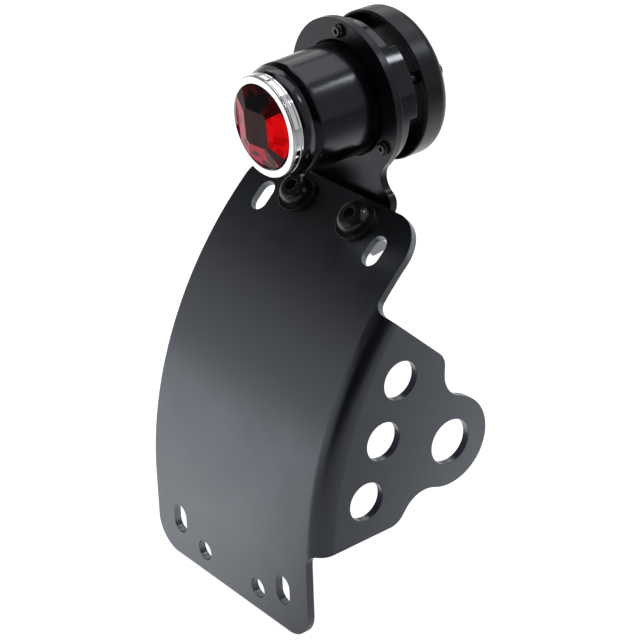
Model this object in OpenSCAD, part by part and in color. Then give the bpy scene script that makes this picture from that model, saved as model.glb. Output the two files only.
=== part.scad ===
// Side mount licence plate holder for a motorcycle, with a small round tail lamp.
// The origin is the centre of the axle hole on the outer face of the side flange.
// +Z is up, the plate and the lamp face -Y, and the flange lies on the +X side.

/* [Curved plate] */
// Thickness of the steel sheet of the plate and of the lamp bracket
sheet_t = 3.2; // [2:0.1:4]
// Width of the plate up to the start of the flange bend
plate_w = 101.6; // [96:0.1:115]
// Radius of the front face of the curved part
plate_r = 161.5; // [155:0.5:175]
// Distance from the axle hole forwards to the front of the curve
plate_depth = 60.5; // [58.5:0.5:62.5]
// Angle below the axle hole at which the curve runs out into a flat
flat_start_a = 21; // [20.5:0.1:22]
// Length of the flat from the curve down to the lower slots
flat_l = 16; // [14:0.5:20]
// Forward lean of the whole bent sheet about the axle hole
plate_lean = 23; // [21:0.1:25]
// Height of the plate's lower edge below the lower slots
edge_below = 17.7; // [16.5:0.1:20]
// Height of the plate's upper edge above the upper slots
edge_above = 17.3; // [16.5:0.1:17.4]
// Corner radius of the plate at the outer side and at the lower flange side
corner_r = 12.7; // [6:0.1:14]
// Corner radius of the plate at the upper flange side
corner_top_r = 16; // [8:0.1:18]

/* [Plate holes] */
// Distance between the slots from side to side
slot_pitch_x = 69.85; // [60:0.05:78]
// Distance between the slots along the face
slot_pitch_s = 146.05; // [144:0.05:148]
// Width of each slot
slot_w = 8.6; // [6:0.1:10]
// Length of each slot
slot_l = 13; // [11:0.1:15]
// Diameter of the round holes between the slots
plate_hole_d = 8.7; // [8.3:0.1:9.5]
// Distance between the round holes
plate_hole_pitch = 36.2; // [32:0.1:40]
// Distance of the round holes from the slots, towards the plate's edge
plate_hole_offset = 7.5; // [7:0.1:8]

/* [Side flange] */
// Outer radius of the bend between the plate and the flange
bend_r = 7.6; // [5:0.1:9]
// Diameter of the axle hole
axle_d = 19.2; // [15:0.1:25]
// Radius of the rounded ear round the axle hole
ear_r = 19.4; // [18:0.1:22]
// Distance of the ear's centre behind the axle hole, negative towards the plate
ear_shift = -0.8; // [-2:0.1:0]
// Diameter of the three lightening holes
light_hole_d = 16.2; // [8:0.1:18]
// Distance of the lightening holes from the axle hole, towards the plate
light_hole_back = 36.2; // [34:0.1:38]
// Distance between the lightening holes
light_hole_pitch = 25; // [22:0.1:26]
// Radius of the shoulder corners of the flange
shoulder_r = 8.3; // [5:0.1:9]
// Distance of the shoulder corners' centres from the axle hole, towards the plate
shoulder_back = 22.5; // [21.5:0.1:24]
// Height of the shoulder corners' centres above and below the axle hole
shoulder_z = 28.7; // [27.6:0.1:31]
// Slope of the flange's long edges, outwards to the plate
long_edge_a = 22.2; // [18:0.1:25]
// Slope of the short edges that run down from the shoulders, off the vertical
short_edge_a = 17.8; // [14:0.1:22]
// Radius of the hollow between a short edge and the ear
waist_r = 12.5; // [8:0.1:13]
// Radius of the hollow where a long edge meets the plate's side
relief_r = 5; // [3:0.1:6]

/* [Lamp bracket] */
// Length of the foot from the plate's upper edge to the start of its bend
foot_rise = 0.2; // [0.1:0.1:2]
// Inner radius of the bend from the foot to the upright neck
foot_bend_r = 2; // [1.5:0.1:3]
// Width of the foot beside the middle of each of its screws
foot_side = 7.9; // [6:0.1:10]
// Length of the foot below its screws
foot_below = 11; // [9.5:0.1:13]
// Radius of the foot's lower corners
foot_corner_r = 5; // [2:0.1:6]
// Length of the neck's straight sides above the bend
neck_side_l = 0.6; // [0.4:0.1:6]
// Radius of the neck's shoulder corners above the foot
neck_corner_r = 4.5; // [3:0.1:6]
// Radius of the hollows between the ring and the neck's shoulders
neck_waist_r = 7; // [4:0.1:8]
// Set-in of the neck's narrowest place from the foot's side
neck_in = 5.4; // [4:0.1:7]
// Width of the ring round the lamp
ring_w = 9; // [8.4:0.1:11]

/* [Lamp head] */
// Radius of the lamp's shell where it passes through the ring
shell_base_r = 22.8; // [20:0.1:26]
// Drop of the shell's radius just in front of the ring
shell_step = 0.4; // [0.1:0.1:0.8]
// Further drop of the shell's radius up to its shoulder
shell_taper = 0.4; // [0.1:0.1:1.5]
// Distance from the ring's front to the shell's shoulder
shell_l = 27.2; // [24:0.1:34]
// Length of the shell's shoulder
shoulder_l = 7.6; // [5:0.1:10]
// Drop of the shell's radius over its shoulder
shoulder_drop = 2.5; // [1.5:0.1:3]
// Wall of the shell
shell_wall = 1.2; // [0.8:0.1:1.5]
// Radial play of the shell in the ring
ring_play = 0.5; // [0.2:0.1:0.8]
// Width of the shell's flange behind the ring
shell_flange_w = 1.8; // [1.2:0.1:1.9]
// How far the bezel stands out past the shell's nose
bezel_over = 0.5; // [0.4:0.1:1.5]
// Length of the bezel
bezel_l = 4.7; // [4.4:0.1:6]
// Width of the bezel's front face
bezel_w = 3.5; // [3:0.1:5]
// Thickness of the bezel's front lip
bezel_lip = 1.2; // [0.8:0.1:1.5]
// Width of the bezel's seat on the shell's spigot
bezel_seat_w = 0.75; // [0.6:0.05:0.9]
// Width of the two grooves round the bezel's side
groove_w = 0.5; // [0.3:0.1:0.7]
// Distance of the rear groove from the bezel's back
groove_back = 1.3; // [1:0.1:1.6]
// Height of the lens dome in front of the bezel
lens_dome = 2.6; // [1:0.1:5]
// Thickness of the lens
lens_t = 1.6; // [1.2:0.1:2]
// Thickness of the lens's rim behind the lip
lens_rim_t = 1; // [0.8:0.1:1.2]
// Thickness of the ring seal behind the lens
gasket_t = 0.8; // [0.6:0.1:1]
// Play between the parts of the lamp head
fit_play = 0.15; // [0.1:0.05:0.2]
// Distance of the reflector's rim behind the ring seal
reflector_in = 1; // [0.5:0.1:2]
// Diameter of the bulb's glass
bulb_d = 11; // [8:0.5:14]
// Diameter of the bulb's metal cap
bulb_cap_d = 9; // [8:0.1:10]
// Length of the bulb's metal cap
bulb_cap_l = 9; // [6:0.5:11]
// Diameter of the bulb holder
holder_d = 13; // [12:0.5:16]
// Length of the bulb holder
holder_l = 13; // [12:0.5:14]
// Distance of the bulb holder's rim in front of the ring's back
holder_in = 1; // [0.5:0.1:2]
// Thickness of the bulb holder's rim
holder_rim_t = 2; // [1:0.1:3]
// Width of the bulb holder's rim
holder_rim_w = 3; // [2:0.1:4]

/* [Lamp housing] */
// Set-in of the housing's side from the ring's edge
housing_in = 2.6; // [2:0.1:3]
// Wall of the housing
housing_wall = 1.8; // [1.2:0.1:2]
// Depth of the housing behind the ring
housing_l = 5.6; // [5:0.1:8]
// Diameter of the hole for the wires in the housing's back
wire_hole_d = 9; // [6:0.5:12]
// Height of the three raised lands on the housing's back
land_h = 3.6; // [2.5:0.1:4.5]
// Sweep of each land
land_a = 58; // [40:1:80]
// Direction of the middle of the first land, up from the flange side
land_dir = 23; // [15:1:30]
// Gap between the lands and the rear cover's rim
cover_gap = 4; // [3:0.1:5]
// How far the rear cover stands out past the housing
cover_over = 1; // [0.4:0.1:2]
// Depth of the rear cover
cover_l = 11.8; // [10:0.1:16]
// Edge radius of the rear cover
cover_edge_r = 4; // [2.4:0.1:5]
// Wall of the rear cover
cover_wall = 1.2; // [0.8:0.1:1.6]
// Diameter of the spacers between the housing and the cover
spacer_d = 4.6; // [4.4:0.1:5.4]
// Set-in of the spacers' middle from the housing's side
spacer_in = 3.6; // [3.2:0.1:4.4]
// Width of the cover's pads round the foot of each spacer
pad_w = 0.3; // [0.1:0.1:0.5]
// Diameter of the cable hole in the rear cover
cable_hole_d = 8; // [6:0.5:10]
// Distance of the cable hole below the lamp's axis
cable_hole_drop = 15; // [10:0.5:17]
// Width and thickness of the cable grommet's lips
grommet_lip = 1.4; // [1:0.1:2]
// Length of the grommet's collar behind the cover
grommet_l = 1.8; // [1:0.1:3]
// Length of the taper behind the collar
grommet_taper_l = 0.8; // [0.4:0.1:2]

/* [Fasteners] */
// Diameter of the screws through the plate and the foot
foot_screw_d = 8; // [6:0.1:8]
// Length of those screws under the head
foot_screw_l = 20; // [20:1:30]
// Diameter of their button heads
foot_head_d = 14; // [12:0.1:15]
// Height of their button heads
foot_head_h = 4.4; // [4:0.1:5]
// Size of their hexagon socket across the flats
foot_socket = 5; // [4:0.5:6]
// Diameter of the flat washers
washer_d = 18; // [16:0.1:19]
// Thickness of the flat washers
washer_t = 1.6; // [1:0.1:2]
// Outer diameter of the split lock washers
lock_washer_d = 14.8; // [13:0.1:16]
// Thickness of the split lock washers
lock_washer_t = 2; // [1.5:0.1:2.5]
// Gap in the split lock washers
lock_washer_gap = 1.2; // [0.8:0.1:2]
// Size of the nuts across the flats
nut_w = 13; // [12:0.5:14]
// Height of the nuts
nut_h = 6.5; // [5:0.1:7]
// Diameter of the small screws of the lamp
lamp_screw_d = 3; // [2.5:0.1:3]
// Diameter of their heads
lamp_head_d = 5.5; // [4.8:0.1:5.6]
// Height of their heads
lamp_head_h = 1.9; // [1.5:0.1:2.4]
// Size of their hexagon socket across the flats
lamp_socket = 2; // [1.5:0.1:2.5]
// Distance of the ring's screws from the shell's side
ring_screw_out = 4.6; // [4.2:0.1:5]
// Radial play of a screw in its hole
screw_play = 0.05; // [0.05:0.01:0.15]
// Gap that keeps two flat faces from sharing material
face_gap = 0.02; // [0.01:0.01:0.05]

/* [Hidden] */

plate_x = -(bend_r + plate_w / 2);            // centreline of the plate and of the lamp
plate_side = -bend_r - plate_w;               // outer side of the plate
plate_axis_y = plate_r - plate_depth;         // the curve's axis behind the axle hole
slots_s = slot_pitch_s;                       // upper slots, measured up the face
foot_screw_s = slots_s + plate_hole_offset;   // foot screws, measured up the face
top_s = slots_s + edge_above;                 // upper edge of the plate
foot_r = plate_r - sheet_t - face_gap;        // face of the foot, against the plate's back
foot_back_r = foot_r - sheet_t;               // back of the foot
eps = 0.01;                                   // overlap of pieces of one solid
lap = 0.02;                                   // how far a round corner runs past what it meets
cut = 1;                                      // how far a cutter runs past a face

// Angle above the axle hole's level of a place s up the front face
function face_a(s) = -flat_start_a + max(s - flat_l, 0) / plate_r * 180 / PI;

// The curve's axis in the part's own frame
axis_y = plate_axis_y * cos(plate_lean);
axis_z = -plate_axis_y * sin(plate_lean);

// The foot leaves the curve just above the plate's upper edge, where its bend turns it upright
foot_w = plate_hole_pitch + 2 * foot_side;
foot_end_a = face_a(top_s) + plate_lean + foot_rise / foot_r * 180 / PI;
foot_bend_z = axis_z + (foot_r + foot_bend_r) * sin(foot_end_a);
foot_start_a = face_a(foot_screw_s - foot_below);
neck_y = axis_y + foot_bend_r - (foot_r + foot_bend_r) * cos(foot_end_a);   // front of the neck
neck_lap = 0.3;                               // the neck's overlap with the bend

// Flange outline: normals of its edges, ear, shoulder and waist centres
long_n = [sin(long_edge_a), cos(long_edge_a)];
short_n = [cos(short_edge_a), sin(short_edge_a)];
ear_c = [ear_shift, 0];
shoulder_c = [-shoulder_back, shoulder_z];
waist_off = (shoulder_c - ear_c) * short_n + shoulder_r + waist_r;
waist_c = ear_c + waist_off * short_n
        + sqrt(pow(ear_r + waist_r, 2) - pow(waist_off, 2)) * [-short_n[1], short_n[0]];

// Where a long edge meets the front face of the curve
edge_d = shoulder_c * long_n + shoulder_r;
edge_hit_a = asin((edge_d - plate_axis_y * long_n[0]) / plate_r) + long_edge_a;

// Neck outline: the hollow touches the ring and the shoulder corner, and sets the lamp's height
ring_r = shell_base_r + ring_w;
neck_waist_x = foot_w / 2 - neck_in + neck_waist_r;
neck_corner_x = foot_w / 2 - neck_corner_r;
neck_corner_z = foot_bend_z + neck_side_l;
neck_waist_z = neck_corner_z + sqrt(pow(neck_waist_r + neck_corner_r, 2)
                                    - pow(neck_waist_x - neck_corner_x, 2));
lamp_z = neck_waist_z + sqrt(pow(ring_r + neck_waist_r, 2) - pow(neck_waist_x, 2));

// Radii about the lamp's axis
shell_r = shell_base_r - shell_step;
shell_front_r = shell_r - shell_taper;
nose_r = shell_front_r - shoulder_drop;
bezel_r = nose_r + bezel_over;
lens_r = bezel_r - bezel_w;
seat_r = nose_r - bezel_seat_w;
spigot_r = seat_r - fit_play;
bowl_neck = holder_d / 2 + fit_play;
reflector_r = spigot_r - shell_wall - fit_play;
ring_screw_at_r = shell_base_r + ring_screw_out;
housing_r = ring_r - housing_in;
cover_r = housing_r + cover_over;
spacer_at_r = housing_r - spacer_in;

// Places along the lamp's axis, measured forwards
ring_front = -neck_y;
ring_back = ring_front - sheet_t;
shoulder_f = ring_front + shell_l;
bezel_back = shoulder_f + shoulder_l;
bezel_front = bezel_back + bezel_l;
lip_back = bezel_front - bezel_lip;
spigot_f = lip_back - lens_rim_t - gasket_t;
holder_back = ring_back + holder_in;
holder_front = holder_back + holder_l;
reflector_front = spigot_f - reflector_in;
housing_back = ring_back - housing_l;
land_back = housing_back - land_h;
cover_front = land_back - cover_gap;
cover_back = cover_front - cover_l;
cover_floor = cover_back + cover_wall;
cover_pad_f = cover_back + cover_edge_r;      // top of the cover's pads
land_dirs = [land_dir, land_dir + 120, land_dir + 240];
ring_screw_dirs = [90, 210, 330];

// Frames and helpers

// Frame of the bent sheet, with the axle hole at its origin
module sheet_frame() rotate([-plate_lean, 0, 0]) children();

// Frame on the front face where the curve runs out into the flat, z up the face
module arc_start_frame() sheet_frame()
    translate([0, plate_axis_y - plate_r * cos(flat_start_a), -plate_r * sin(flat_start_a)])
        rotate([flat_start_a, 0, 0]) children();

// Frame on the front face at s up the face: x from the centreline, y into the sheet
module at_plate(s) {
    a = face_a(s);
    sheet_frame()
        translate([plate_x, plate_axis_y - plate_r * cos(a), plate_r * sin(a)])
            rotate([-a, 0, 0]) translate([0, 0, min(s - flat_l, 0)]) children();
}

// Prism along x of an outline drawn as y and z
module along_x(x_from, x_to)
    translate([x_from, 0, 0]) rotate([90, 0, 90]) linear_extrude(x_to - x_from) children();

// Round hole through the sheet, from the front face
module drill(d, depth)
    translate([0, -cut, 0]) rotate([-90, 0, 0]) cylinder(h = depth + 2 * cut, d = d, $fn = 64);

// Lamp frame: z forwards along the lamp's axis, and x as in the part's own frame
module lamp_frame() translate([plate_x, 0, lamp_z]) rotate([90, 0, 0]) children();

// Place on the lamp at a distance from its axis and an angle up from the flange side
module lamp_at(r, a) rotate([0, 0, a]) translate([r, 0, 0]) children();

// Plate bracket

module slot_cut() {
    reach = (slot_l - slot_w) / 2;
    for (side = [-1, 1]) translate([0, 0, side * reach]) drill(slot_w, sheet_t);
    translate([-slot_w / 2, -cut, -reach]) cube([slot_w, sheet_t + 2 * cut, 2 * reach]);
}

// Takes the corner off a sheet that ends above z = r and outside x = r
module corner_cut(r)
    translate([0, sheet_t + cut, 0]) rotate([90, 0, 0]) linear_extrude(sheet_t + 2 * cut)
        difference() {
            square(r + cut);
            circle(r + lap, $fn = 96);
        }

module flange_outline() {
    far = 2 * plate_axis_y;
    difference() {
        union() {
            for (m = [0, 1]) mirror([0, m]) {
                polygon([ear_c, [-far, 0],
                         shoulder_c + shoulder_r * long_n + far * [-long_n[1], long_n[0]],
                         shoulder_c + shoulder_r * long_n, shoulder_c,
                         shoulder_c + shoulder_r * short_n, waist_c - waist_r * short_n,
                         ear_c + (waist_c - ear_c) * ear_r / (ear_r + waist_r)]);
                translate(shoulder_c) circle(shoulder_r + lap, $fn = 96);
            }
            translate(ear_c) circle(ear_r, $fn = 128);
        }
        for (m = [0, 1]) mirror([0, m]) translate(waist_c) circle(waist_r + lap, $fn = 96);
    }
}

// Section of the curved sheet: radius from the curve's axis, and distance in from the flange's
// outer face
module sheet_section() {
    bend_c = [plate_r - bend_r, bend_r];
    translate([plate_r - sheet_t, bend_r]) square([sheet_t, plate_w]);
    translate(bend_c) intersection() {
        difference() {
            circle(bend_r, $fn = 96);
            circle(bend_r - sheet_t, $fn = 96);
        }
        translate([0, -bend_r]) square(bend_r);
    }
    translate([plate_axis_y / 2, 0]) square([bend_c[0] - plate_axis_y / 2, sheet_t]);
}

// The sheet with its full flange, before the flange is cut to its outline
module bent_sheet() arc_start_frame() {
    translate([0, plate_r, 0]) rotate([90, 0, -90])
        rotate_extrude(angle = face_a(top_s) + flat_start_a, $fn = 360) sheet_section();
    translate([plate_side, 0, -flat_l - edge_below])
        cube([plate_w, sheet_t, flat_l + edge_below]);
}

// Frame on the plate's side where a long edge meets the front face, y along the edge, for the
// upper and the lower edge
module relief_frames() sheet_frame() for (m = [0, 1]) mirror([0, 0, m])
    translate([-bend_r, plate_axis_y - plate_r * cos(edge_hit_a), plate_r * sin(edge_hit_a)])
        rotate([-long_edge_a, 0, 0]) children();

// All that lies beside the flange's outline, less what the hollows at its long edges leave
module flange_trim() {
    far = 2 * plate_axis_y;
    difference() {
        sheet_frame() along_x(-bend_r, cut) difference() {
            translate([-far, -far]) square(2 * far);
            flange_outline();
        }
        relief_frames() translate([-cut, -cut, -relief_r])
            cube([relief_r + cut, 2 * bend_r, 2 * relief_r]);
    }
    relief_frames() translate([relief_r, -2 * cut, relief_r]) rotate([-90, 0, 0])
        cylinder(h = 2 * bend_r + 2 * cut, r = relief_r + lap, $fn = 96);
}

module plate_bracket() color("#3a3d42") difference() {
    bent_sheet();
    flange_trim();
    for (side = [-1, 1]) {
        for (s = [0, slots_s]) at_plate(s) translate([side * slot_pitch_x / 2, 0, 0]) slot_cut();
        for (s = [-plate_hole_offset, foot_screw_s])
            at_plate(s) translate([side * plate_hole_pitch / 2, 0, 0]) drill(plate_hole_d, sheet_t);
        at_plate(-edge_below + corner_r) mirror([side < 0 ? 1 : 0, 0, 0]) mirror([0, 0, 1])
            translate([plate_w / 2 - corner_r, 0, 0]) corner_cut(corner_r);
    }
    at_plate(top_s - corner_r) mirror([1, 0, 0])
        translate([plate_w / 2 - corner_r, 0, 0]) corner_cut(corner_r);
    at_plate(top_s - corner_top_r)
        translate([plate_w / 2 - corner_top_r, 0, 0]) corner_cut(corner_top_r);
    sheet_frame() {
        rotate([0, 90, 0]) cylinder(h = 4 * sheet_t, d = axle_d, center = true, $fn = 128);
        for (k = [-1, 0, 1]) translate([0, -light_hole_back, k * light_hole_pitch])
            rotate([0, 90, 0]) cylinder(h = 4 * sheet_t, d = light_hole_d, center = true, $fn = 96);
    }
}

// Lamp bracket

module neck_outline() {
    base_z = foot_bend_z - neck_lap;
    side_x = foot_w / 2 - lap;
    difference() {
        union() {
            translate([0, lamp_z]) circle(ring_r, $fn = 192);
            for (m = [0, 1]) mirror([m, 0]) {
                translate([neck_corner_x, neck_corner_z]) circle(neck_corner_r + lap, $fn = 96);
                polygon([[-eps, base_z], [side_x, base_z], [side_x, neck_corner_z],
                         [neck_corner_x, neck_corner_z],
                         ([neck_corner_x, neck_corner_z] * neck_waist_r
                          + [neck_waist_x, neck_waist_z] * neck_corner_r)
                         / (neck_waist_r + neck_corner_r),
                         [neck_waist_x, neck_waist_z]
                         + ([0, lamp_z] - [neck_waist_x, neck_waist_z]) * neck_waist_r
                         / (ring_r + neck_waist_r),
                         [-eps, lamp_z]]);
            }
        }
        for (m = [0, 1]) mirror([m, 0])
            translate([neck_waist_x, neck_waist_z]) circle(neck_waist_r + lap, $fn = 96);
    }
}

// Frame on the foot's upper face where its bend starts, z along the foot and y into it
module foot_end_frame()
    translate([0, axis_y - foot_r * cos(foot_end_a), axis_z + foot_r * sin(foot_end_a)])
        rotate([-foot_end_a, 0, 0]) children();

module lamp_bracket() color("#3a3d42") difference() {
    union() {
        foot_end_frame() {
            translate([0, foot_r, 0]) rotate([-90, 0, -90])
                rotate_extrude(angle = foot_end_a - plate_lean - foot_start_a, $fn = 360)
                    translate([foot_back_r, plate_x - foot_w / 2]) square([sheet_t, foot_w]);
            translate([0, -foot_bend_r, 0]) rotate([90, 0, 90])
                rotate_extrude(angle = foot_end_a, $fn = 180)
                    translate([foot_bend_r, plate_x - foot_w / 2]) square([sheet_t, foot_w]);
        }
        translate([plate_x, neck_y + sheet_t, 0]) rotate([90, 0, 0])
            linear_extrude(sheet_t) neck_outline();
    }
    lamp_frame() translate([0, 0, ring_back - cut])
        cylinder(h = sheet_t + 2 * cut, r = shell_base_r + ring_play, $fn = 192);
    lamp_frame() for (a = ring_screw_dirs) lamp_at(ring_screw_at_r, a)
        translate([0, 0, ring_back - cut])
            cylinder(h = sheet_t + 2 * cut, d = lamp_screw_d + 2 * screw_play, $fn = 48);
    for (side = [-1, 1]) {
        at_plate(foot_screw_s) translate([side * plate_hole_pitch / 2, sheet_t, 0])
            drill(plate_hole_d, sheet_t);
        at_plate(foot_screw_s - foot_below + foot_corner_r) mirror([side < 0 ? 1 : 0, 0, 0])
            mirror([0, 0, 1]) translate([foot_w / 2 - foot_corner_r, sheet_t, 0])
                corner_cut(foot_corner_r);
    }
}

// Fasteners

// Frame of a foot screw: origin on the plate's front face, z out of the face
module foot_screw_at(side)
    at_plate(foot_screw_s) translate([side * plate_hole_pitch / 2, 0, 0])
        rotate([90, 0, 0]) children();

// Button head with a hexagon socket, seated at z = 0, and its shank below
module button_screw(d, length, head_d, head_h, socket) {
    rim_h = 0.18 * head_h;
    difference() {
        rotate_extrude($fn = 96) polygon(concat(
            [[0, 0], [head_d / 2, 0], [head_d / 2, rim_h]],
            [for (k = [1:7]) let (u = k / 8)
                [0.8 * socket + (head_d / 2 - 0.8 * socket) * cos(90 * u),
                 rim_h + (head_h - rim_h) * sin(90 * u)]],
            [[0.8 * socket, head_h], [0, head_h]]));
        translate([0, 0, 0.45 * head_h])
            cylinder(h = head_h, d = socket / cos(30), $fn = 6);
    }
    translate([0, 0, -length]) rotate_extrude($fn = 64)
        polygon([[0, 0], [0.42 * d, 0], [d / 2, 0.08 * d], [d / 2, length + eps],
                 [0, length + eps]]);
}

module foot_screw(side) color("#17181a") foot_screw_at(side)
    translate([0, 0, washer_t + face_gap])
        button_screw(foot_screw_d, foot_screw_l, foot_head_d, foot_head_h, foot_socket);

module foot_washer(side) color("#1d1e20") foot_screw_at(side) translate([0, 0, face_gap / 2])
    difference() {
        cylinder(h = washer_t, d = washer_d, $fn = 96);
        translate([0, 0, -cut])
            cylinder(h = washer_t + 2 * cut, d = foot_screw_d + 2 * screw_play, $fn = 96);
    }

// The foot's back is hollow, so a flat washer rests on it by its edges
lock_seat = 2 * sheet_t + foot_back_r - sqrt(pow(foot_back_r, 2) - pow(lock_washer_d / 2, 2))
          + face_gap;

module foot_lock_washer(side) color("#55585c") foot_screw_at(side)
    translate([0, 0, -lock_seat - lock_washer_t]) difference() {
        cylinder(h = lock_washer_t, d = lock_washer_d, $fn = 96);
        translate([0, 0, -cut])
            cylinder(h = lock_washer_t + 2 * cut, d = foot_screw_d + 2 * screw_play, $fn = 96);
        translate([0, -lock_washer_gap / 2, -cut])
            cube([lock_washer_d, lock_washer_gap, lock_washer_t + 2 * cut]);
    }

module foot_nut(side) color("#55585c") foot_screw_at(side)
    translate([0, 0, -lock_seat - lock_washer_t - face_gap - nut_h]) difference() {
        intersection() {
            cylinder(h = nut_h, d = nut_w / cos(30), $fn = 6);
            rotate_extrude($fn = 96) polygon([[0, 0], [nut_w / 2, 0],
                [nut_w / 2 + nut_h / 4, nut_h / 8], [nut_w / 2 + nut_h / 4, nut_h], [0, nut_h]]);
        }
        translate([0, 0, -cut])
            cylinder(h = nut_h + 2 * cut, d = foot_screw_d + 2 * screw_play, $fn = 96);
    }

module ring_screw(a) color("#17181a") lamp_frame() lamp_at(ring_screw_at_r, a)
    translate([0, 0, ring_front + face_gap])
        button_screw(lamp_screw_d, sheet_t + housing_l - housing_wall / 2 - screw_play,
                     lamp_head_d, lamp_head_h, lamp_socket);

// Lamp head

// Outline of the shell's side and shoulder, forwards, moved inwards by the wall
function shell_side(wall) = let (drop = shell_front_r - nose_r,
        arc_r = (shoulder_l * shoulder_l + drop * drop) / (2 * drop), end_a = asin(shoulder_l / arc_r))
    concat([[shell_base_r - wall, ring_back], [shell_r - wall, ring_front + 3 * shell_wall]],
        [for (k = [0:10]) let (a = end_a * k / 10)
            [shell_front_r - wall - (arc_r - wall) * (1 - cos(a)), shoulder_f + (arc_r - wall) * sin(a)]]);

function reversed(list) = [for (k = [len(list) - 1:-1:0]) list[k]];

module bell_shell() color("#0c0c0e") lamp_frame() {
    flange_back = ring_back - face_gap - shell_wall;
    rotate_extrude($fn = 192) polygon(concat(
        [[shell_base_r + shell_flange_w, flange_back],
         [shell_base_r + shell_flange_w, ring_back - face_gap]],
        [[shell_base_r, ring_back - face_gap]], shell_side(0),
        [[spigot_r, bezel_back], [spigot_r, spigot_f], [spigot_r - shell_wall, spigot_f]],
        reversed(shell_side(shell_wall)),
        [[shell_base_r - shell_wall, flange_back]]));
}

module bezel() color("#d5d8dc") lamp_frame() {
    edge_r = bezel_lip / 2;
    rotate_extrude($fn = 192) polygon(concat(
        [[seat_r, bezel_back + face_gap], [bezel_r - groove_w / 2, bezel_back + face_gap],
         [bezel_r, bezel_back + groove_w / 2],
         [bezel_r, bezel_back + groove_back - groove_w / 2],
         [bezel_r - groove_w, bezel_back + groove_back],
         [bezel_r, bezel_back + groove_back + groove_w / 2],
         [bezel_r, bezel_front - edge_r - groove_w],
         [bezel_r - groove_w / 2, bezel_front - edge_r - groove_w / 2]],
        [for (k = [0:6]) let (a = 90 * k / 6)
            [bezel_r - edge_r + edge_r * cos(a), bezel_front - edge_r + edge_r * sin(a)]],
        [[lens_r + edge_r, bezel_front], [lens_r + fit_play, bezel_front - edge_r],
         [lens_r + fit_play, lip_back], [seat_r, lip_back]]));
}

module lens() color("#c01222") lamp_frame() {
    flange_f = lip_back - face_gap;
    rim_f = bezel_front - bezel_lip / 2;
    rise = bezel_front + lens_dome - rim_f;
    dome_r = (lens_r * lens_r + rise * rise) / (2 * rise);
    half_a = asin(lens_r / dome_r);
    inner_r = dome_r - lens_t;
    inner_a = asin((lens_r - lens_t) / inner_r);
    dome_c = rim_f + rise - dome_r;
    rotate_extrude($fn = 192) polygon(concat(
        [[lens_r - lens_t, flange_f - lens_rim_t], [seat_r - fit_play, flange_f - lens_rim_t],
         [seat_r - fit_play, flange_f], [lens_r, flange_f]],
        [for (k = [0:12]) let (a = half_a * (1 - k / 12)) dome_r * [sin(a), cos(a)] + [0, dome_c]],
        [for (k = [0:12]) let (a = inner_a * k / 12) inner_r * [sin(a), cos(a)] + [0, dome_c]]));
}

module lens_gasket() color("#161616") lamp_frame()
    translate([0, 0, spigot_f + face_gap / 2]) difference() {
        cylinder(h = gasket_t - 2 * face_gap, r = spigot_r, $fn = 192);
        translate([0, 0, -cut])
            cylinder(h = gasket_t + 2 * cut, r = spigot_r - shell_wall, $fn = 192);
    }

// Side of the reflector's bowl, a parabola in section from the bulb holder to the shell's mouth
function bowl(wall) = [for (k = [0:12]) let (u = k / 12)
    [bowl_neck + wall + (reflector_r - shell_wall - bowl_neck) * sqrt(u),
     holder_front + (reflector_front - holder_front) * u]];

module reflector() color("#d8dadd") lamp_frame() rotate_extrude($fn = 128)
    polygon(concat(bowl(shell_wall), reversed(bowl(0)),
        [[bowl_neck, holder_front - shell_wall], [bowl_neck + shell_wall, holder_front - shell_wall]]));

module bulb_holder() color("#2a2a2c") lamp_frame() difference() {
    union() {
        translate([0, 0, holder_back])
            cylinder(h = holder_front - holder_back, d = holder_d, $fn = 96);
        translate([0, 0, holder_back])
            cylinder(h = holder_rim_t, d = holder_d + 2 * holder_rim_w, $fn = 96);
    }
    translate([0, 0, holder_front - bulb_cap_l])
        cylinder(h = bulb_cap_l + cut, d = bulb_cap_d + 2 * fit_play, $fn = 96);
}

module bulb() color("#e9e4d8") lamp_frame() {
    cap_back = holder_front - bulb_cap_l + face_gap;
    glass_f = holder_front + bulb_d * 0.55;
    rotate_extrude($fn = 96) polygon(concat(
        [[0, cap_back], [bulb_cap_d / 2, cap_back], [bulb_cap_d / 2, holder_front]],
        [for (k = [0:12]) let (a = -50 + 140 * k / 12) bulb_d / 2 * [cos(a), sin(a)] + [0, glass_f]]));
}

// Lamp housing

module rear_housing() color("#101012") lamp_frame() difference() {
    boss_r = ring_screw_at_r - shell_base_r - shell_flange_w - fit_play;
    land_in_r = spacer_at_r - spacer_d;
    translate([0, 0, land_back])
        cylinder(h = ring_back - face_gap - land_back, r = housing_r, $fn = 192);
    // Cavity that opens towards the ring, with three bosses left for the ring's screws
    translate([0, 0, housing_back + housing_wall]) difference() {
        cylinder(h = housing_l, r = housing_r - housing_wall, $fn = 192);
        for (a = ring_screw_dirs) lamp_at(ring_screw_at_r, a)
            translate([0, 0, -cut]) cylinder(h = housing_l + 2 * cut, r = boss_r, $fn = 64);
    }
    // All of the back but the lands
    translate([0, 0, land_back - cut]) difference() {
        cylinder(h = land_h + cut, r = housing_r + cut, $fn = 192);
        for (a = land_dirs) rotate([0, 0, a - land_a / 2]) translate([0, 0, -cut])
            rotate_extrude(angle = land_a, $fn = 360) translate([land_in_r, 0])
                square([housing_r - land_in_r + 2 * cut, land_h + 3 * cut]);
    }
    for (a = ring_screw_dirs) lamp_at(ring_screw_at_r, a)
        translate([0, 0, housing_back + housing_wall / 2])
            cylinder(h = housing_l, d = lamp_screw_d + 2 * screw_play, $fn = 48);
    for (a = land_dirs) lamp_at(spacer_at_r, a) translate([0, 0, land_back - cut])
        cylinder(h = land_h + cut, d = lamp_screw_d + 2 * screw_play, $fn = 48);
    translate([0, 0, land_back - cut]) cylinder(h = land_h + housing_l, d = wire_hole_d, $fn = 96);
}

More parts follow.
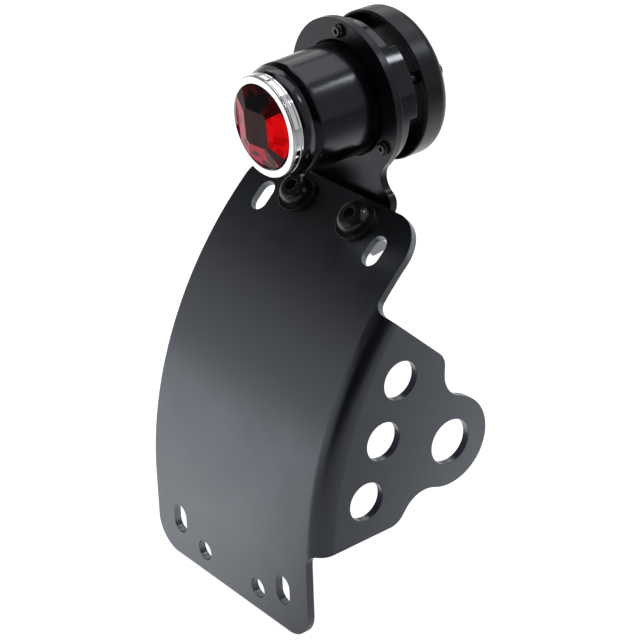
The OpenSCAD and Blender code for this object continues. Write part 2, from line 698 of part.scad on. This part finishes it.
module rear_cover() color("#141417") lamp_frame() difference() {
    inner_edge = cover_pad_f - cover_floor;
    union() {
        rotate_extrude($fn = 192) polygon(concat(
        [[0, cover_back]],
        [for (k = [0:8]) let (a = -90 + 90 * k / 8)
            [cover_r - cover_edge_r + cover_edge_r * cos(a),
             cover_back + cover_edge_r + cover_edge_r * sin(a)]],
        [[cover_r, cover_front - cover_wall / 2], [cover_r - cover_wall / 4, cover_front],
         [cover_r - 3 * cover_wall / 4, cover_front], [cover_r - cover_wall, cover_front - cover_wall / 2]],
        [for (k = [8:-1:0]) let (a = -90 + 90 * k / 8)
            [cover_r - cover_wall - inner_edge + inner_edge * cos(a),
             cover_floor + inner_edge + inner_edge * sin(a)]],
        [[0, cover_floor]]));
        // Pads that the spacers stand on
        for (a = land_dirs) lamp_at(spacer_at_r, a) translate([0, 0, cover_back + cover_wall / 2])
            cylinder(h = cover_pad_f - cover_back - cover_wall / 2, d = spacer_d + 2 * pad_w, $fn = 64);
    }
    for (a = land_dirs) lamp_at(spacer_at_r, a) translate([0, 0, cover_back]) {
        sink_r = lamp_head_d / 2 + screw_play;
        rotate_extrude($fn = 96) polygon([
            [0, -cut], [sink_r + cut, -cut], [lamp_screw_d / 2 + screw_play,
                sink_r - lamp_screw_d / 2 - screw_play],
            [lamp_screw_d / 2 + screw_play, cover_pad_f - cover_back + cut],
            [0, cover_pad_f - cover_back + cut]]);
    }
    translate([0, -cable_hole_drop, cover_back - cut])
        cylinder(h = cover_wall + 2 * cut, d = cable_hole_d, $fn = 96);
}

module cover_spacer(a) color("#141417") lamp_frame() lamp_at(spacer_at_r, a)
    translate([0, 0, cover_pad_f + face_gap / 2]) difference() {
        cylinder(h = land_back - cover_pad_f - face_gap, d = spacer_d, $fn = 64);
        translate([0, 0, -cut])
            cylinder(h = land_back - cover_pad_f + 2 * cut, d = lamp_screw_d + 2 * screw_play, $fn = 48);
    }

// The flat head narrows to the shank at 45 degrees, flush with the cover's back
module cover_screw(a) color("#17181a") lamp_frame() lamp_at(spacer_at_r, a)
    translate([0, 0, cover_back + face_gap]) difference() {
        rotate_extrude($fn = 96) polygon([
            [0, 0], [lamp_head_d / 2, 0], [lamp_screw_d / 2, (lamp_head_d - lamp_screw_d) / 2],
            [lamp_screw_d / 2, housing_back - cover_back - face_gap],
            [0, housing_back - cover_back - face_gap]]);
        translate([0, 0, -cut])
            cylinder(h = cut + lamp_socket / 2, d = lamp_socket / cos(30), $fn = 6);
    }

module cable_grommet() color("#161616") lamp_frame()
    translate([0, -cable_hole_drop, 0]) {
        waist = cable_hole_d / 2 - face_gap;
        collar = cable_hole_d / 2 + grommet_lip;
        bore = cable_hole_d / 4;
        collar_back = cover_back - grommet_l;
        rotate_extrude($fn = 96) polygon([
            [bore, collar_back - grommet_taper_l], [waist, collar_back - grommet_taper_l],
            [collar, collar_back], [collar, cover_back - face_gap],
            [waist, cover_back - face_gap], [waist, cover_floor + face_gap],
            [collar, cover_floor + face_gap], [collar, cover_floor + grommet_lip],
            [bore, cover_floor + grommet_lip]]);
    }

plate_bracket();
lamp_bracket();
foot_screw(-1);  // foot_screw_left
foot_screw(1);  // foot_screw_right
foot_washer(-1);  // foot_washer_left
foot_washer(1);  // foot_washer_right
foot_lock_washer(-1);  // foot_lock_washer_left
foot_lock_washer(1);  // foot_lock_washer_right
foot_nut(-1);  // foot_nut_left
foot_nut(1);  // foot_nut_right
ring_screw(ring_screw_dirs[0]);  // ring_screw_top
ring_screw(ring_screw_dirs[1]);  // ring_screw_left
ring_screw(ring_screw_dirs[2]);  // ring_screw_right
bell_shell();
bezel();
lens();
lens_gasket();
reflector();
bulb_holder();
bulb();
rear_housing();
rear_cover();
cover_spacer(land_dirs[0]);  // cover_spacer_upper
cover_spacer(land_dirs[1]);  // cover_spacer_left
cover_spacer(land_dirs[2]);  // cover_spacer_lower
cover_screw(land_dirs[0]);  // cover_screw_upper
cover_screw(land_dirs[1]);  // cover_screw_left
cover_screw(land_dirs[2]);  // cover_screw_lower
cable_grommet();
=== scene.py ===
import math

import bpy
from mathutils import Matrix, Vector


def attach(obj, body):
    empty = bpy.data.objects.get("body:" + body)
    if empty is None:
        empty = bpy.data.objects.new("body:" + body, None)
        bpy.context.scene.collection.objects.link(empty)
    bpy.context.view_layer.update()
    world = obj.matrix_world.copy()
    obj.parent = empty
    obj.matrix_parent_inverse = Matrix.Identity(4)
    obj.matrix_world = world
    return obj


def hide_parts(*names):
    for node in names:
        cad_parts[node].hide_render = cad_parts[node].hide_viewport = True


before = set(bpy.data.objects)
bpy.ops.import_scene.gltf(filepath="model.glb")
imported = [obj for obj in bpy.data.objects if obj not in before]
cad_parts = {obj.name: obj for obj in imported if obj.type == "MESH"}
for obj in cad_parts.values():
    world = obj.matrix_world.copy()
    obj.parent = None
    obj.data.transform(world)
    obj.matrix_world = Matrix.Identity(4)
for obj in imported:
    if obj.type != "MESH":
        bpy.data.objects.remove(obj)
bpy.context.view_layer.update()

# --- Camera
# It stands above and to the right of the plate's front, turned slightly, so that the
# plate, the side flange and the lamp all show.
VIEW_TURN = math.radians(53.274)
VIEW_RISE = math.radians(28.466)
VIEW_ROLL = math.radians(-3.637)
VIEW_DISTANCE = 0.885444
VIEW_RIGHT = -0.051104
VIEW_UP = 0.047759
LENS_MM = 126.85
SENSOR_MM = 36

view_back = Vector((math.sin(VIEW_TURN) * math.cos(VIEW_RISE),
                    -math.cos(VIEW_TURN) * math.cos(VIEW_RISE), math.sin(VIEW_RISE)))
level_right = Vector((math.cos(VIEW_TURN), math.sin(VIEW_TURN), 0))
level_up = view_back.cross(level_right)
view_right = level_right * math.cos(VIEW_ROLL) + level_up * math.sin(VIEW_ROLL)
view_up = level_up * math.cos(VIEW_ROLL) - level_right * math.sin(VIEW_ROLL)

bpy.ops.object.select_all(action="DESELECT")
bpy.ops.object.camera_add()
camera = bpy.context.object
camera.name = "view_camera"
camera.data.lens = LENS_MM
camera.data.sensor_width = SENSOR_MM
camera.data.clip_start = 0.05
camera.data.clip_end = 20
place = view_back * VIEW_DISTANCE + view_right * VIEW_RIGHT + view_up * VIEW_UP
camera.matrix_world = Matrix((
    (view_right.x, view_up.x, view_back.x, place.x),
    (view_right.y, view_up.y, view_back.y, place.y),
    (view_right.z, view_up.z, view_back.z, place.z),
    (0, 0, 0, 1)))
bpy.context.scene.camera = camera
bpy.context.scene.view_settings.view_transform = "Standard"

# --- Studio
# A white table under a white surround. In reflections the surround grows darker above
# and where the camera stands, with a grey card behind on the right. A broad soft lamp
# hangs overhead, a dim one behind on the left, and a small soft box shows in the gloss.
TABLE_Z = -0.0682
TABLE_SIZE = 9
TABLE_GLOW = 0.90
TABLE_GLOW_FAR = 1.0
TABLE_GLOW_NEAR = 0.06
TABLE_FADE_START = -0.03
TABLE_FADE_END = 0.07
TABLE_GREY = (0.50, 0.50, 0.50, 1)
TABLE_ROUGHNESS = 0.9
SKY_FILL = 0.34
SKY_LOW = 0.52
SKY_HIGH = 0.03
SKY_LOW_RISE = 0.20
SKY_HIGH_RISE = 0.56
DARK_AIM = Vector((0.79, -0.59, 0.17))
DARK_WIDE = math.cos(math.radians(60))
DARK_NARROW = math.cos(math.radians(34))
CARD_AIM = Vector((0.58, 0.56, 0.59))
CARD_WIDE = math.cos(math.radians(56))
CARD_NARROW = math.cos(math.radians(26))
CARD_GLOW = 0.50
SOFT_LAMPS = [
    # name, place, aimed at, width, height, watts
    ("lamp_overhead", (-0.30, 0.45, 1.40), (-0.05, 0, 0), 1.2, 1.2, 6.5),
    ("lamp_left_behind", (-1.05, 0.80, 0.85), (-0.05, 0, 0.12), 0.7, 0.5, 1.4),
    ("soft_box", (0.142, 0.250, 0.440), (-0.035, 0.008, 0.148), 0.034, 0.085, 0.16),
]


def add_node(tree, kind, place, **values):
    """A node of that kind at that place in the tree, with its settings and inputs."""
    node = tree.nodes.new(kind)
    node.location = place
    for key, value in values.items():
        if key in node.inputs:
            node.inputs[key].default_value = value
        else:
            setattr(node, key, value)
    return node


def add_range(tree, place, source, reach, give=(0.0, 1.0), ease="LINEAR"):
    """A Map Range node that turns a source's reach (from, to) into the given values."""
    node = add_node(tree, "ShaderNodeMapRange", place, interpolation_type=ease)
    node.inputs["From Min"].default_value, node.inputs["From Max"].default_value = reach
    node.inputs["To Min"].default_value, node.inputs["To Max"].default_value = give
    tree.links.new(source, node.inputs["Value"])
    return node.outputs["Result"]


def add_maths(tree, place, operation, first, second=None):
    """A Math node on one or two sources, where the second may be a plain number."""
    node = add_node(tree, "ShaderNodeMath", place, operation=operation)
    tree.links.new(first, node.inputs[0])
    if isinstance(second, bpy.types.NodeSocket):
        tree.links.new(second, node.inputs[1])
    elif second is not None:
        node.inputs[1].default_value = second
    return node.outputs[0]


def add_dot(tree, place, source, direction):
    """How far a source vector points in one direction."""
    node = add_node(tree, "ShaderNodeVectorMath", place, operation="DOT_PRODUCT")
    node.inputs[1].default_value = direction
    tree.links.new(source, node.inputs[0])
    return node.outputs["Value"]


world = bpy.data.worlds.new("white_surround")
bpy.context.scene.world = world
world.use_nodes = True
sky = world.node_tree
sky.nodes.clear()
ray = add_node(sky, "ShaderNodeLightPath", (-900, 200))
aim = add_node(sky, "ShaderNodeTexCoord", (-900, -150))
split = add_node(sky, "ShaderNodeSeparateXYZ", (-700, -150))
sky.links.new(aim.outputs["Generated"], split.inputs[0])
climb = add_range(sky, (-520, -150), split.outputs["Z"], (SKY_LOW_RISE, SKY_HIGH_RISE),
                  (SKY_LOW, SKY_HIGH), "SMOOTHSTEP")
towards = add_dot(sky, (-700, -350), aim.outputs["Generated"], DARK_AIM)
dark_card = add_range(sky, (-520, -400), towards, (DARK_WIDE, DARK_NARROW), (1.0, 0.0),
                      "SMOOTHSTEP")
shaded = add_maths(sky, (-400, -250), "MULTIPLY", climb, dark_card)
behind = add_dot(sky, (-700, -650), aim.outputs["Generated"], CARD_AIM)
card = add_range(sky, (-520, -700), behind, (CARD_WIDE, CARD_NARROW), (0.0, CARD_GLOW),
                 "SMOOTHSTEP")
around = add_maths(sky, (-350, -450), "MAXIMUM", shaded, card)
mirror = add_node(sky, "ShaderNodeMix", (-300, 50), data_type="FLOAT")
mirror.inputs["A"].default_value = SKY_FILL
sky.links.new(ray.outputs["Is Glossy Ray"], mirror.inputs["Factor"])
sky.links.new(around, mirror.inputs["B"])
seen = add_node(sky, "ShaderNodeMix", (-120, 50), data_type="FLOAT")
seen.inputs["B"].default_value = 1.0
sky.links.new(ray.outputs["Is Camera Ray"], seen.inputs["Factor"])
sky.links.new(mirror.outputs["Result"], seen.inputs["A"])
glow = add_node(sky, "ShaderNodeBackground", (60, 50), Color=(1, 1, 1, 1))
sky.links.new(seen.outputs["Result"], glow.inputs["Strength"])
sky_out = add_node(sky, "ShaderNodeOutputWorld", (240, 50))
sky.links.new(glow.outputs[0], sky_out.inputs["Surface"])

for name, spot, target, width, height, watts in SOFT_LAMPS:
    bpy.ops.object.light_add(type="AREA", location=spot)
    soft = bpy.context.object
    soft.name = name
    soft.data.shape = "RECTANGLE"
    soft.data.size = width
    soft.data.size_y = height
    soft.data.energy = watts
    sight = Vector(target) - Vector(spot)
    soft.rotation_euler = sight.to_track_quat("-Z", "Y").to_euler()

bpy.ops.object.select_all(action="DESELECT")
bpy.ops.mesh.primitive_plane_add(size=TABLE_SIZE, location=(0, 0, TABLE_Z))
table = bpy.context.object
table.name = "white_table"
table_paint = bpy.data.materials.new("white_table_top")
table_paint.use_nodes = True
tree = table_paint.node_tree
top = tree.nodes["Principled BSDF"]
top.inputs["Base Color"].default_value = TABLE_GREY
top.inputs["Roughness"].default_value = TABLE_ROUGHNESS
top.inputs["Specular IOR Level"].default_value = 0.0
ray = add_node(tree, "ShaderNodeLightPath", (-900, -300))
across = add_node(tree, "ShaderNodeTexCoord", (-900, -600))
nearness = add_dot(tree, (-700, -600), across.outputs["Object"],
                   (math.sin(VIEW_TURN), -math.cos(VIEW_TURN), 0))
fade = add_range(tree, (-520, -600), nearness, (TABLE_FADE_START, TABLE_FADE_END),
                 (TABLE_GLOW_FAR, TABLE_GLOW_NEAR), "SMOOTHSTEP")
mirrored = add_maths(tree, (-320, -500), "MULTIPLY", fade, ray.outputs["Is Glossy Ray"])
plain_ray = add_maths(tree, (-520, -300), "MAXIMUM", ray.outputs["Is Camera Ray"],
                      ray.outputs["Is Transmission Ray"])
seen_glow = add_maths(tree, (-320, -300), "MULTIPLY", plain_ray, TABLE_GLOW)
lift = add_maths(tree, (-140, -300), "ADD", seen_glow, mirrored)
top.inputs["Emission Color"].default_value = (1, 1, 1, 1)
tree.links.new(lift, top.inputs["Emission Strength"])
table.data.materials.append(table_paint)

# --- Plate and lamp bracket
# Both are pressed from steel sheet and powder coated satin black. The coat has a fine
# orange peel, dulls in soft patches and is paler along its cut edges: part wear,
# part painted highlight.
COAT_COLOUR = (0.0042, 0.0048, 0.0060, 1)
# The paler edge colour is part wear, part painted highlight
COAT_WORN_AND_LIT = (0.032, 0.034, 0.038, 1)
COAT_ROUGHNESS = 0.30
COAT_DENSITY = 1.72
COOL_SHEEN = (0.82, 0.88, 1.0, 1)
PATCH_SCALE = 55
PATCH_REACH = (0.3, 0.7)
BREAK_SCALE = 900
BREAK_REACH = (0.35, 0.65)
PATCH_LIFT = 0.18
PEEL_HEIGHT = 0.0002
BEVEL_SAMPLES = 6
FLAT_TURN = 0.995
SHARP_TURN = 0.80


def new_group(name, inputs, outputs):
    """A shader node group with its named float inputs (name, value) and outputs."""
    group = bpy.data.node_groups.new(name, "ShaderNodeTree")
    for socket, value in inputs:
        made = group.interface.new_socket(name=socket, in_out="INPUT",
                                          socket_type="NodeSocketFloat")
        made.default_value = value
    for socket, kind in outputs:
        group.interface.new_socket(name=socket, in_out="OUTPUT", socket_type=kind)
    start = add_node(group, "NodeGroupInput", (-900, 0))
    end = add_node(group, "NodeGroupOutput", (600, 0))
    return group, start, end


# Fine peel and soft patches of a sprayed or moulded skin
skin_group, start, end = new_group(
    "skin_grain", [("Peel Scale", 1400), ("Patch Scale", 60), ("Peel Depth", 0.12),
                   ("Edge Radius", 0.0004)],
    [("Normal", "NodeSocketVector"), ("Patch", "NodeSocketFloat")])
coords = add_node(skin_group, "ShaderNodeTexCoord", (-900, 300))
peel = add_node(skin_group, "ShaderNodeTexNoise", (-600, 200),
                Detail=3.0, Roughness=0.55)
patch = add_node(skin_group, "ShaderNodeTexNoise", (-600, -150),
                 Detail=4.0, Roughness=0.6)
for noise, scale in ((peel, "Peel Scale"), (patch, "Patch Scale")):
    skin_group.links.new(coords.outputs["Object"], noise.inputs["Vector"])
    skin_group.links.new(start.outputs[scale], noise.inputs["Scale"])
raised = add_node(skin_group, "ShaderNodeBump", (-200, 200), Distance=PEEL_HEIGHT)
rounded = add_node(skin_group, "ShaderNodeBevel", (-450, 0), samples=BEVEL_SAMPLES)
skin_group.links.new(start.outputs["Edge Radius"], rounded.inputs["Radius"])
skin_group.links.new(rounded.outputs["Normal"], raised.inputs["Normal"])
skin_group.links.new(peel.outputs["Fac"], raised.inputs["Height"])
skin_group.links.new(start.outputs["Peel Depth"], raised.inputs["Strength"])
skin_group.links.new(raised.outputs["Normal"], end.inputs["Normal"])
skin_group.links.new(patch.outputs["Fac"], end.inputs["Patch"])

# Where an outer edge lies within a small distance, broken up by a fine noise: the mask
# for paler edges, part wear and part painted highlight
edge_wear_and_highlight_group, start, end = new_group(
    "edge_wear_and_highlight", [("Reach", 0.0006), ("Break Scale", 900), ("Amount", 1.0)],
    [("Edge", "NodeSocketFloat")])
coords = add_node(edge_wear_and_highlight_group, "ShaderNodeTexCoord", (-900, 300))
rounded = add_node(edge_wear_and_highlight_group, "ShaderNodeBevel", (-700, 0), samples=BEVEL_SAMPLES)
edge_wear_and_highlight_group.links.new(start.outputs["Reach"], rounded.inputs["Radius"])
plain = add_node(edge_wear_and_highlight_group, "ShaderNodeNewGeometry", (-700, -200))
turn = add_node(edge_wear_and_highlight_group, "ShaderNodeVectorMath", (-500, -50), operation="DOT_PRODUCT")
edge_wear_and_highlight_group.links.new(rounded.outputs["Normal"], turn.inputs[0])
edge_wear_and_highlight_group.links.new(plain.outputs["True Normal"], turn.inputs[1])
near = add_range(edge_wear_and_highlight_group, (-320, -50), turn.outputs["Value"], (FLAT_TURN, SHARP_TURN))
breaks = add_node(edge_wear_and_highlight_group, "ShaderNodeTexNoise", (-600, 300),
                  Detail=4.0, Roughness=0.7)
edge_wear_and_highlight_group.links.new(coords.outputs["Object"], breaks.inputs["Vector"])
edge_wear_and_highlight_group.links.new(start.outputs["Break Scale"], breaks.inputs["Scale"])
broken = add_range(edge_wear_and_highlight_group, (-320, 300), breaks.outputs["Fac"], BREAK_REACH)
both = add_maths(edge_wear_and_highlight_group, (-100, 100), "MULTIPLY", near, broken)
amount = add_maths(edge_wear_and_highlight_group, (100, 100), "MULTIPLY", both, start.outputs["Amount"])
edge_wear_and_highlight_group.links.new(amount, end.inputs["Edge"])


def coated(name, colour, edge_wear_and_lit_colour, roughness, peel_depth, peel_scale=1400, metal=0.0,
           shine=0.5, density=1.5, sheen=(1, 1, 1, 1), wear_and_highlight_amount=0.6, reach=0.0006,
           spread=0.08):
    """A solid finish: its own colour, a fine skin, dull patches and paler edges, part wear
    and part painted highlight.
    """
    made = bpy.data.materials.new(name)
    made.use_nodes = True
    tree = made.node_tree
    shader = tree.nodes["Principled BSDF"]
    skin = add_node(tree, "ShaderNodeGroup", (-700, -250), node_tree=skin_group)
    skin.inputs["Peel Scale"].default_value = peel_scale
    skin.inputs["Patch Scale"].default_value = PATCH_SCALE
    skin.inputs["Peel Depth"].default_value = peel_depth
    edge = add_node(tree, "ShaderNodeGroup", (-700, 50), node_tree=edge_wear_and_highlight_group)
    edge.inputs["Reach"].default_value = reach
    edge.inputs["Break Scale"].default_value = BREAK_SCALE
    edge.inputs["Amount"].default_value = wear_and_highlight_amount
    shade = add_node(tree, "ShaderNodeMix", (-450, 250), data_type="RGBA")
    shade.inputs["A"].default_value = [c * (1 - PATCH_LIFT) for c in colour[:3]] + [1]
    shade.inputs["B"].default_value = [c * (1 + PATCH_LIFT) for c in colour[:3]] + [1]
    tree.links.new(skin.outputs["Patch"], shade.inputs["Factor"])
    # Paler edges, part wear and part painted highlight
    edge_worn_and_lit = add_node(tree, "ShaderNodeMix", (-220, 250), data_type="RGBA")
    edge_worn_and_lit.inputs["B"].default_value = edge_wear_and_lit_colour
    tree.links.new(shade.outputs["Result"], edge_worn_and_lit.inputs["A"])
    tree.links.new(edge.outputs["Edge"], edge_worn_and_lit.inputs["Factor"])
    dull = add_range(tree, (-450, -50), skin.outputs["Patch"], PATCH_REACH,
                     (roughness - spread / 2, roughness + spread / 2))
    tree.links.new(edge_worn_and_lit.outputs["Result"], shader.inputs["Base Color"])
    tree.links.new(dull, shader.inputs["Roughness"])
    tree.links.new(skin.outputs["Normal"], shader.inputs["Normal"])
    shader.inputs["Metallic"].default_value = metal
    shader.inputs["IOR"].default_value = density
    shader.inputs["Specular IOR Level"].default_value = shine
    shader.inputs["Specular Tint"].default_value = sheen
    return made


def dress(finish, *names):
    """Gives CAD nodes a finish of their own."""
    for name in names:
        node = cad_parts[name]
        if not node.material_slots:
            node.data.materials.append(None)
        for place in node.material_slots:
            place.link = "OBJECT"
            place.material = finish


powder = coated("powder_coat", COAT_COLOUR, COAT_WORN_AND_LIT, COAT_ROUGHNESS, 0.10, shine=1.0,
                density=COAT_DENSITY, sheen=COOL_SHEEN, wear_and_highlight_amount=0.5)
dress(powder, "plate_bracket")
# A copy of the powder coat with weaker reflection, so the bracket renders darker: painted
# shade for a bracket that stands in less light
bracket_powder_shaded = coated("powder_coat_bracket_shaded", COAT_COLOUR, COAT_WORN_AND_LIT,
                        COAT_ROUGHNESS, 0.08, shine=0.36, sheen=COOL_SHEEN)
dress(bracket_powder_shaded, "lamp_bracket")

# --- Screws, washers and nuts of the foot
# Button heads and flat washers are blackened, and the lock washers and nuts behind the
# plate are zinc plated.
black_oxide = coated("black_oxide", (0.012, 0.012, 0.013, 1), (0.10, 0.10, 0.105, 1),
                     0.19, 0.05, 2200, shine=0.7, wear_and_highlight_amount=0.5, reach=0.0003)
zinc = coated("zinc_plate", (0.52, 0.53, 0.55, 1), (0.70, 0.71, 0.73, 1),
              0.32, 0.08, 1800, metal=1.0, wear_and_highlight_amount=0.4, reach=0.0003)
for side in ("left", "right"):
    dress(black_oxide, "foot_screw_" + side, "foot_washer_" + side)
    dress(zinc, "foot_lock_washer_" + side, "foot_nut_" + side)

# --- Lamp shell
# A drawn and turned bell in half gloss black paint. A bump in its paint shows the crease
# where the nose meets the shoulder, and fades out over a short way on both sides.
PAINT_BLACK = (0.003, 0.003, 0.004, 1)
# The paler edge colour is part wear, part painted highlight
PAINT_WORN_AND_LIT = (0.05, 0.05, 0.055, 1)
CREASE_Y = -0.0292
CREASE_REACH = 0.0042
CREASE_DEPTH = 0.0018

half_gloss = coated("half_gloss_black_paint", PAINT_BLACK, PAINT_WORN_AND_LIT, 0.19, 0.02, 700,
                    sheen=COOL_SHEEN, wear_and_highlight_amount=0.25, reach=0.0004, spread=0.05)
tree = half_gloss.node_tree
shader = tree.nodes["Principled BSDF"]
coords = add_node(tree, "ShaderNodeTexCoord", (-1500, -500))
along = add_node(tree, "ShaderNodeSeparateXYZ", (-1300, -500))
tree.links.new(coords.outputs["Object"], along.inputs[0])
offset = add_maths(tree, (-1120, -500), "SUBTRACT", along.outputs["Y"], CREASE_Y)
away = add_maths(tree, (-950, -500), "ABSOLUTE", offset)
dip = add_range(tree, (-780, -500), away, (0.0, CREASE_REACH))
quarter = add_maths(tree, (-700, -650), "MULTIPLY", dip, math.pi / 2)
round_off = add_maths(tree, (-620, -500), "SINE", quarter)
crease = add_node(tree, "ShaderNodeBump", (-250, -450), Distance=CREASE_DEPTH)
tree.links.new(shader.inputs["Normal"].links[0].from_socket, crease.inputs["Normal"])
tree.links.new(round_off, crease.inputs["Height"])
tree.links.new(crease.outputs["Normal"], shader.inputs["Normal"])
dress(half_gloss, "bell_shell")

# --- Housing behind the ring
# A cast drum with three raised lands, painted gloss black.
gloss = coated("gloss_black_paint", PAINT_BLACK, PAINT_WORN_AND_LIT, 0.11, 0.02, 700,
               sheen=COOL_SHEEN, wear_and_highlight_amount=0.25, reach=0.0004, spread=0.05)
dress(gloss, "rear_housing")

# --- Rear cover, its spacers and the small screws
# A spun steel pan in satin black paint stands off the housing on three round spacers.
# Small blackened socket screws hold it and the ring.
satin = coated("satin_black_paint", (0.004, 0.0042, 0.005, 1), (0.06, 0.06, 0.065, 1),
               0.30, 0.05, 1200, shine=0.38, sheen=COOL_SHEEN, wear_and_highlight_amount=0.35, reach=0.0004)
dress(satin, "rear_cover", *["cover_spacer_" + k for k in ("upper", "left", "lower")])
dress(black_oxide, *["ring_screw_" + k for k in ("top", "left", "right")],
      *["cover_screw_" + k for k in ("upper", "left", "lower")])

# --- Bezel
# A polished chrome ring that is pushed over the shell's nose and holds the lens.
chrome = coated("chrome_plate", (0.88, 0.89, 0.91, 1), (0.95, 0.95, 0.96, 1),
                0.06, 0.01, 500, metal=1.0, wear_and_highlight_amount=0.2, reach=0.0003, spread=0.04)
dress(chrome, "bezel")

# --- Rubber seal and cable grommet
# Matt black rubber with a fine moulded grain.
rubber = coated("black_rubber", (0.020, 0.020, 0.021, 1), (0.045, 0.045, 0.046, 1),
                0.68, 0.25, 1600, wear_and_highlight_amount=0.4, reach=0.0004)
dress(rubber, "lens_gasket", "cable_grommet")

# --- Inside of the lamp
# A silvered bowl, a black moulded holder and the bulb, all behind the red lens.
silver = coated("silvered_bowl", (0.85, 0.86, 0.87, 1), (0.9, 0.9, 0.9, 1),
                0.12, 0.02, 900, metal=1.0, wear_and_highlight_amount=0.1)
holder = coated("moulded_holder", (0.030, 0.030, 0.031, 1), (0.06, 0.06, 0.06, 1),
                0.55, 0.15, 1500, wear_and_highlight_amount=0.3)
bulb = coated("bulb_glass", (0.80, 0.77, 0.70, 1), (0.85, 0.83, 0.78, 1),
              0.10, 0.01, 900, wear_and_highlight_amount=0.1)
dress(silver, "reflector")
dress(holder, "bulb_holder")
dress(bulb, "bulb")

# --- Lens
# A moulded red lens, cut like a stone: a disc whose front is cut by eight slanting
# planes round a flat table, with softened edges. Its light and shade are painted: the
# table is a dull maroon, some facets glow red or deep red and others are near black.
LAMP_X = -0.0584
LAMP_Z = 0.12839
LENS_R = 0.01638
LENS_BACK_Y = -0.0364
LENS_FRONT_Y = -0.0405
TABLE_WIDE = 0.0070
CORNER_WIDE = 0.0088
FACET_TILT = math.radians(19)
CORNER_TILT = math.radians(17)
FACET_TURN = 3
FACET_STEP = 45
FACET_EDGE = 0.00012
LENS_SIDES = 96
LENS_ROUGHNESS = 0.10
LENS_DENSITY = 1.15
GRAIN_SCALE = 500.0
GRAIN_SHARE = 0.06

bpy.ops.object.select_all(action="DESELECT")
bpy.ops.mesh.primitive_cylinder_add(
    vertices=LENS_SIDES, radius=LENS_R, depth=LENS_BACK_Y - LENS_FRONT_Y,
    location=(LAMP_X, (LENS_BACK_Y + LENS_FRONT_Y) / 2, LAMP_Z),
    rotation=(math.pi / 2, 0, 0))
jewel = bpy.context.object
jewel.name = "lens_jewel"
bpy.ops.object.transform_apply(location=True, rotation=True, scale=True)
bpy.ops.object.mode_set(mode="EDIT")
for k in range(8):
    side = math.radians(FACET_TURN + FACET_STEP * k)
    wide, tilt = ((TABLE_WIDE, FACET_TILT), (CORNER_WIDE, CORNER_TILT))[k % 2]
    out = Vector((math.cos(side), 0, math.sin(side)))
    bpy.ops.mesh.select_all(action="SELECT")
    bpy.ops.mesh.bisect(
        plane_co=(LAMP_X + wide * out.x, LENS_FRONT_Y, LAMP_Z + wide * out.z),
        plane_no=(math.sin(tilt) * out.x, -math.cos(tilt), math.sin(tilt) * out.z),
        use_fill=True, clear_outer=True)
bpy.ops.object.mode_set(mode="OBJECT")
soften = jewel.modifiers.new("softened_edges", "BEVEL")
soften.width = FACET_EDGE
soften.segments = 2
soften.limit_method = "ANGLE"
soften.angle_limit = math.radians(8)
bpy.ops.object.modifier_apply(modifier=soften.name)


def lens_red(name, deep, clear, glow, cell_size, low, high):
    """Red lens material: cells of deep and clear red stand in for the way cut glass breaks
    up light, and an emission makes the glass glow: painted light.
    """
    made = bpy.data.materials.new(name)
    made.use_nodes = True
    tree = made.node_tree
    shader = tree.nodes["Principled BSDF"]
    coords = add_node(tree, "ShaderNodeTexCoord", (-900, 100))
    cells = add_node(tree, "ShaderNodeTexVoronoi", (-700, 100), Scale=1 / cell_size)
    tree.links.new(coords.outputs["Object"], cells.inputs["Vector"])
    drift = add_node(tree, "ShaderNodeTexNoise", (-700, -200), Scale=GRAIN_SCALE,
                     Detail=2.0)
    tree.links.new(coords.outputs["Object"], drift.inputs["Vector"])
    mixed = add_node(tree, "ShaderNodeMix", (-600, 0), data_type="FLOAT")
    mixed.inputs["Factor"].default_value = GRAIN_SHARE
    tree.links.new(cells.outputs["Color"], mixed.inputs["A"])
    tree.links.new(drift.outputs["Fac"], mixed.inputs["B"])
    spread = add_range(tree, (-450, 100), mixed.outputs["Result"], (low, high))
    tint = add_node(tree, "ShaderNodeMix", (-250, 200), data_type="RGBA")
    tint.inputs["A"].default_value = deep
    tint.inputs["B"].default_value = clear
    tree.links.new(spread, tint.inputs["Factor"])
    tree.links.new(tint.outputs["Result"], shader.inputs["Base Color"])
    tree.links.new(tint.outputs["Result"], shader.inputs["Emission Color"])
    shader.inputs["Emission Strength"].default_value = glow
    shader.inputs["Roughness"].default_value = LENS_ROUGHNESS
    shader.inputs["IOR"].default_value = LENS_DENSITY
    return made


# Painted light and shade of the cut glass: a dull maroon table, two glowing reds and a
# near black, each standing in for how much light a facet catches
table_painted_shade = lens_red("red_lens_table_painted_shade", (0.060, 0.014, 0.018, 1), (0.085, 0.024, 0.030, 1),
                 0.0, 0.006, 0.3, 0.7)
facet_painted_glow = lens_red("red_lens_painted_glow", (0.55, 0.000, 0.002, 1), (0.90, 0.003, 0.006, 1),
                  0.45, 0.004, 0.3, 0.6)
facet_painted_glow_deep_red = lens_red("red_lens_deep_red_painted_glow", (0.075, 0.006, 0.012, 1), (0.70, 0.000, 0.040, 1),
                   0.20, 0.0048, 0.40, 0.46)
facet_painted_shade = lens_red("red_lens_painted_shade", (0.002, 0.001, 0.001, 1), (0.10, 0.002, 0.004, 1),
                0.0, 0.0055, 0.60, 0.72)
jewel.data.materials.clear()
for finish in (table_painted_shade, facet_painted_glow, facet_painted_glow_deep_red, facet_painted_shade):
    jewel.data.materials.append(finish)
# Which painted light or shade each facet takes, counted from the right: an index into the
# list above
FACET_PAINTED_LIGHT = [1, 3, 3, 0, 2, 2, 2, 0]
for face in jewel.data.polygons:
    n = face.normal
    slanting_front = n.y < -0.2 and abs(n.y) < 0.99
    if slanting_front:
        turn = math.degrees(math.atan2(n.z, n.x)) - FACET_TURN
        face.material_index = FACET_PAINTED_LIGHT[round(turn / FACET_STEP) % 8]
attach(jewel, "root")
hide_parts("lens")
